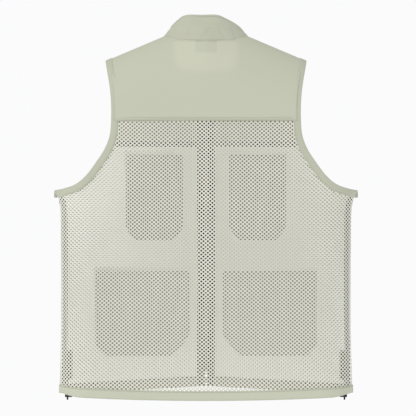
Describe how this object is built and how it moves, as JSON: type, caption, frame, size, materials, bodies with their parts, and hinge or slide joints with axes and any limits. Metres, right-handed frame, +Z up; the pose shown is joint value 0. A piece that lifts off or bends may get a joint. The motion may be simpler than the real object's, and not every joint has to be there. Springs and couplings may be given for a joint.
{
  "type": "fishing vest",
  "caption": "Sleeveless mesh fishing vest with a plain yoke, stand collar, full-length front zip, flapped bellows pockets, bound armholes and elastic hem cords with locks",
  "frame": {"origin": "midway between the two points where the collar meets the shoulder seams", "axes": "+Z up, -Y the front of the vest, +X the wearer's left; the vest is upright and filled out as on a hanger"},
  "size_m": [0.5646, 0.1427, 0.7162],
  "materials": {
    "sage_cloth": "plain woven nylon",
    "mesh_cloth": "open knitted net",
    "binding_cloth": "woven binding",
    "lining_cloth": "plain woven lining",
    "label_cloth": "plain woven label",
    "black_webbing": "ribbed webbing",
    "black_elastic": "braided elastic",
    "black_plastic": "moulded",
    "zip_plastic": "moulded teeth",
    "zip_metal": "satin paint",
    "snap_metal": "satin paint"
  },
  "bodies": {
    "vest_body": {"collar_shell": "sage_cloth", "collar_lining": "sage_cloth", "back_yoke": "sage_cloth", "front_yoke_left": "sage_cloth", "front_yoke_right": "sage_cloth", "back_mesh_panel": "mesh_cloth", "front_mesh_left": "mesh_cloth", "front_mesh_right": "mesh_cloth", "back_hem_band": "sage_cloth", "front_hem_band_left": "sage_cloth", "front_hem_band_right": "sage_cloth", "armhole_binding_left": "binding_cloth", "armhole_binding_right": "binding_cloth", "neck_tape": "binding_cloth", "hanger_loop": "binding_cloth", "neck_label": "label_cloth", "side_seam_tape_left": "binding_cloth", "side_seam_tape_right": "binding_cloth", "zip_tape_left": "binding_cloth", "zip_teeth_left": "zip_plastic", "zip_top_stop_left": "zip_metal", "zip_tape_right": "binding_cloth", "zip_teeth_right": "zip_plastic", "zip_top_stop_right": "zip_metal", "zip_insertion_pin": "zip_metal", "zip_retainer_box": "zip_metal", "chest_pocket_left_lining": "lining_cloth", "chest_pocket_left_gusset": "sage_cloth", "chest_pocket_left_front": "sage_cloth", "chest_pocket_left_snap_stud": "snap_metal", "chest_pocket_right_lining": "lining_cloth", "chest_pocket_right_gusset": "sage_cloth", "chest_pocket_right_front": "sage_cloth", "chest_pocket_right_snap_stud": "snap_metal", "lower_pocket_left_lining": "lining_cloth", "lower_pocket_left_gusset": "sage_cloth", "lower_pocket_left_front": "sage_cloth", "lower_pocket_left_snap_stud": "snap_metal", "lower_pocket_right_lining": "lining_cloth", "lower_pocket_right_gusset": "sage_cloth", "lower_pocket_right_front": "sage_cloth", "lower_pocket_right_snap_stud": "snap_metal", "webbing_tab_left": "black_webbing", "hem_cord_left": "black_elastic", "cord_lock_left": "black_plastic", "webbing_tab_right": "black_webbing", "hem_cord_right": "black_elastic", "cord_lock_right": "black_plastic"},
    "chest_pocket_left_flap_body": {"chest_pocket_left_flap": "sage_cloth", "chest_pocket_left_snap_cap": "snap_metal"},
    "chest_pocket_right_flap_body": {"chest_pocket_right_flap": "sage_cloth", "chest_pocket_right_snap_cap": "snap_metal"},
    "lower_pocket_left_flap_body": {"lower_pocket_left_flap": "sage_cloth", "lower_pocket_left_snap_cap": "snap_metal"},
    "lower_pocket_right_flap_body": {"lower_pocket_right_flap": "sage_cloth", "lower_pocket_right_snap_cap": "snap_metal"},
    "zip_slider_body": {"zip_slider": "zip_metal"},
    "zip_pull_body": {"zip_pull": "zip_metal"},
    "cord_plunger_left_body": {"cord_lock_plunger_left": "black_plastic"},
    "cord_plunger_right_body": {"cord_lock_plunger_right": "black_plastic"}
  },
  "joints": [
    {"name": "zip_slide", "type": "slide", "parent": "vest_body", "child": "zip_slider_body", "axis": [0, 0, 1], "range_m": [-0.505, 0]},
    {"name": "zip_pull_swing", "type": "hinge", "parent": "zip_slider_body", "child": "zip_pull_body", "pos_m": [0, -0.0572, -0.11863], "axis": [-1, 0, 0], "range_deg": [0, 150]},
    {"name": "chest_pocket_left_flap_hinge", "type": "hinge", "parent": "vest_body", "child": "chest_pocket_left_flap_body", "pos_m": [0.0965, -0.05345, -0.213], "axis": [-1, 0, 0], "range_deg": [0, 80]},
    {"name": "chest_pocket_right_flap_hinge", "type": "hinge", "parent": "vest_body", "child": "chest_pocket_right_flap_body", "pos_m": [-0.0965, -0.05345, -0.213], "axis": [-1, 0, 0], "range_deg": [0, 80]},
    {"name": "lower_pocket_left_flap_hinge", "type": "hinge", "parent": "vest_body", "child": "lower_pocket_left_flap_body", "pos_m": [0.119, -0.05345, -0.431], "axis": [-1, 0, 0], "range_deg": [0, 80]},
    {"name": "lower_pocket_right_flap_hinge", "type": "hinge", "parent": "vest_body", "child": "lower_pocket_right_flap_body", "pos_m": [-0.119, -0.05345, -0.431], "axis": [-1, 0, 0], "range_deg": [0, 80]},
    {"name": "cord_plunger_left_press", "type": "slide", "parent": "vest_body", "child": "cord_plunger_left_body", "axis": [1, 0, 0], "range_m": [0, 0.0025], "stiffness_N_per_m": 900, "springref_m": -0.001},
    {"name": "cord_plunger_right_press", "type": "slide", "parent": "vest_body", "child": "cord_plunger_right_body", "axis": [-1, 0, 0], "range_m": [0, 0.0025], "stiffness_N_per_m": 900, "springref_m": -0.001}
  ]
}
